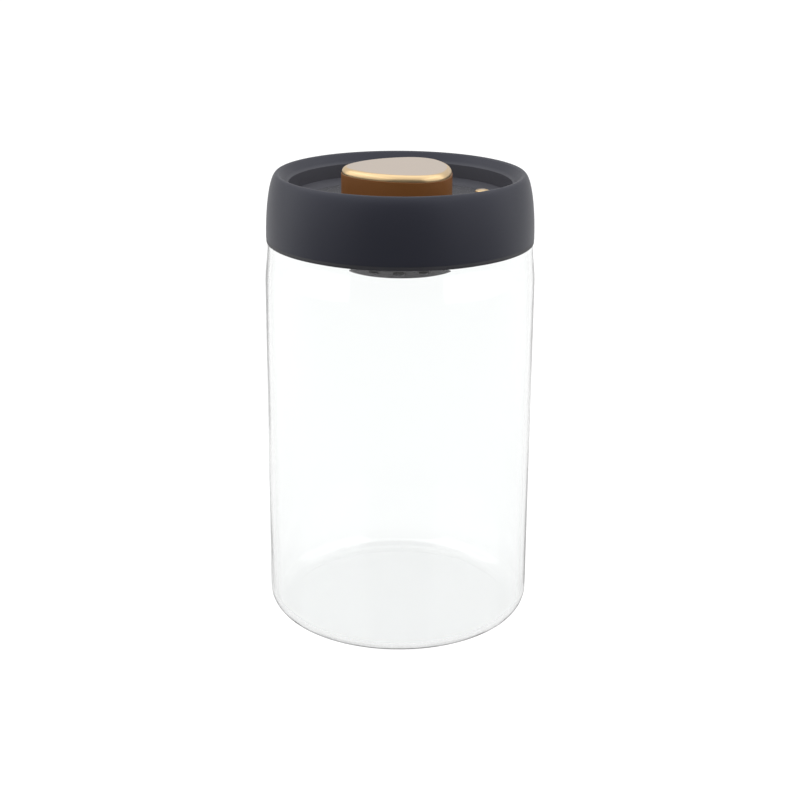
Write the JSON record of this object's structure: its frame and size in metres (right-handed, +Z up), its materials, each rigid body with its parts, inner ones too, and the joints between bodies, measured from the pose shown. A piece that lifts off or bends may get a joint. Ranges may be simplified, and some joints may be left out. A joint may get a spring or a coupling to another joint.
{
  "type": "vacuum seal canister",
  "caption": "Glass dry-food canister whose lift-off lid holds a push-button vacuum pump with a sprung three-cornered knob and a small sprung air-release button.",
  "frame": {"origin": "centre of the jar's foot, on the surface it stands on", "axes": "+Z up along the jar's axis; +X towards the release button; the lid is mirror-symmetric about the XZ plane"},
  "size_m": [0.11, 0.11, 0.19],
  "materials": {
    "glass": "clear, smooth, fire-polished rim",
    "lid_plastic": "fine matte charcoal moulding",
    "plate_plastic": "charcoal with a fine sparkling grain",
    "inner_plastic": "satin dark grey moulding",
    "knob_metal": "champagne gold, satin face with a polished edge",
    "knob_plastic": "satin brown",
    "plunger_plastic": "natural white acetal",
    "silicone": "clear, slightly milky silicone",
    "black_rubber": "smooth black rubber",
    "foam": "open-cell dark foam",
    "spring_steel": "drawn stainless wire",
    "screw_steel": "bright zinc-plated steel"
  },
  "bodies": {
    "jar": {"glass_jar": "glass"},
    "lid": {"lid_shell": "lid_plastic", "top_plate": "plate_plastic", "lid_carrier": "inner_plastic", "rim_seal": "silicone", "pump_cylinder": "inner_plastic", "plunger_guide": "inner_plastic", "pump_housing": "inner_plastic", "dust_filter": "foam", "intake_valve": "silicone", "knob_spring": "spring_steel", "release_spring": "spring_steel", "carrier_screws": "screw_steel", "cylinder_screws": "screw_steel", "housing_screws": "screw_steel"},
    "knob": {"knob_cap": "knob_metal", "knob_skirt": "knob_plastic", "plunger": "plunger_plastic", "plunger_ring": "black_rubber", "exhaust_flap": "silicone", "knob_screws": "screw_steel"},
    "release": {"release_button": "knob_metal", "release_stem": "plunger_plastic", "release_disc": "silicone"}
  },
  "joints": [
    {"name": "lid_lift", "type": "slide", "parent": "jar", "child": "lid", "axis": [0, 0, 1], "range_m": [0, 0.06]},
    {"name": "knob_press", "type": "slide", "parent": "lid", "child": "knob", "axis": [0, 0, -1], "range_m": [0, 0.0105], "stiffness_N_per_m": 450, "springref_m": -0.0067, "deforming": ["knob_spring"]},
    {"name": "release_press", "type": "slide", "parent": "lid", "child": "release", "axis": [0, 0, -1], "range_m": [0, 0.002], "stiffness_N_per_m": 700, "springref_m": -0.0015, "deforming": ["release_spring"]}
  ]
}
